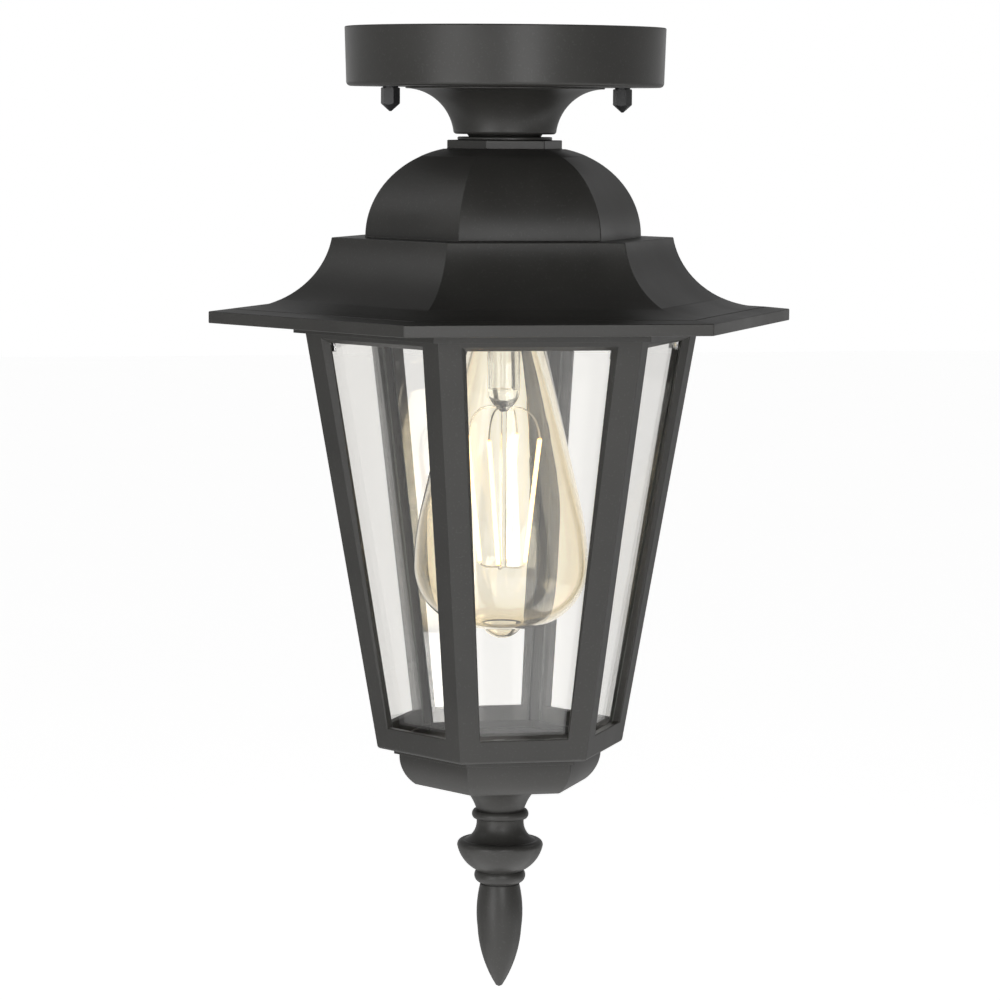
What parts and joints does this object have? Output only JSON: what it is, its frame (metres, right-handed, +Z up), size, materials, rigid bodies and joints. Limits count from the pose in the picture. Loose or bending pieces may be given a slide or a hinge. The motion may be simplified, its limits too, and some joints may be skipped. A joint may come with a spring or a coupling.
{
  "type": "porch ceiling lantern",
  "caption": "Close-to-ceiling porch lantern with a round canopy, six-sided flared roof, tapered glazed cage, filament lamp and turned finial.",
  "frame": {"origin": "centre of the mounting plane at the ceiling, between the two box screws of the strap", "axes": "+Z up to the ceiling, the lantern hangs along -Z; X along the two canopy studs; one flat side of the cage faces -Y"},
  "size_m": [0.2238, 0.194, 0.3656],
  "materials": {
    "black_casting": "fine textured black powder coat on cast aluminium",
    "zinc_steel": "zinc plated steel",
    "spring_steel": "plain spring steel",
    "green_screw": "green earthing screw",
    "brass": "bright brass",
    "black_brass": "brass painted black",
    "pane_glass": "clear flat glass",
    "amber_glass": "amber tinted clear glass",
    "clear_glass": "clear glass stem",
    "black_glass": "dark insulating glass",
    "nickel": "nickel plated sheet and wire",
    "filament": "coated light-emitting rods, lit",
    "phenolic": "black moulded phenolic",
    "ceramic": "glazed white ceramic",
    "lead_black": "black insulation",
    "lead_white": "white insulation",
    "connector": "orange moulded plastic"
  },
  "bodies": {
    "ceiling_set": {"crossbar": "zinc_steel", "mounting_studs": "zinc_steel", "stud_nuts": "zinc_steel", "ground_screw": "green_screw", "canopy": "black_casting", "neck": "black_casting", "threaded_pipe": "zinc_steel", "lock_washer": "zinc_steel", "canopy_nut": "zinc_steel", "roof_nut": "zinc_steel", "neck_spacer": "black_casting", "crown_plate": "black_casting", "roof": "black_casting", "holder_cap": "phenolic", "holder_shell": "phenolic", "holder_base": "ceramic", "screw_shell": "brass", "centre_contact": "brass", "lead_line": "lead_black", "lead_neutral": "lead_white", "wire_connectors": "connector"},
    "cap_nut_left": {"cap_nut_left": "black_brass"},
    "cap_nut_right": {"cap_nut_right": "black_brass"},
    "cage_set": {"cage": "black_casting", "glass_pane_1": "pane_glass", "glass_pane_2": "pane_glass", "glass_pane_3": "pane_glass", "glass_pane_4": "pane_glass", "glass_pane_5": "pane_glass", "glass_pane_6": "pane_glass", "pane_clips": "spring_steel", "clip_screws": "zinc_steel", "cage_screws": "zinc_steel"},
    "floor_set": {"floor_plate": "black_casting", "finial_pipe": "zinc_steel", "floor_nut": "zinc_steel"},
    "finial_set": {"finial": "black_casting", "bottom_cup": "black_casting"},
    "lamp": {"lamp_screw_cap": "nickel", "lamp_insulator": "black_glass", "lamp_contact": "brass", "lamp_envelope": "amber_glass", "lamp_stem": "clear_glass", "lamp_filaments": "filament", "lamp_supports": "nickel"}
  },
  "joints": [
    {"name": "cap_nut_left_travel", "type": "slide", "parent": "ceiling_set", "child": "cap_nut_left", "axis": [0, 0, -1], "range_m": [0, 0.012]},
    {"name": "cap_nut_right_travel", "type": "slide", "parent": "ceiling_set", "child": "cap_nut_right", "axis": [0, 0, -1], "range_m": [0, 0.012]},
    {"name": "lamp_travel", "type": "slide", "parent": "ceiling_set", "child": "lamp", "axis": [0, 0, -1], "range_m": [0, 0.028]},
    {"name": "cage_travel", "type": "slide", "parent": "ceiling_set", "child": "cage_set", "axis": [0, 0, -1], "range_m": [0, 0.125]},
    {"name": "floor_plate_lift", "type": "slide", "parent": "cage_set", "child": "floor_set", "axis": [0, 0, 1], "range_m": [0, 0.008]},
    {"name": "finial_travel", "type": "slide", "parent": "cage_set", "child": "finial_set", "axis": [0, 0, -1], "range_m": [0, 0.04]}
  ]
}
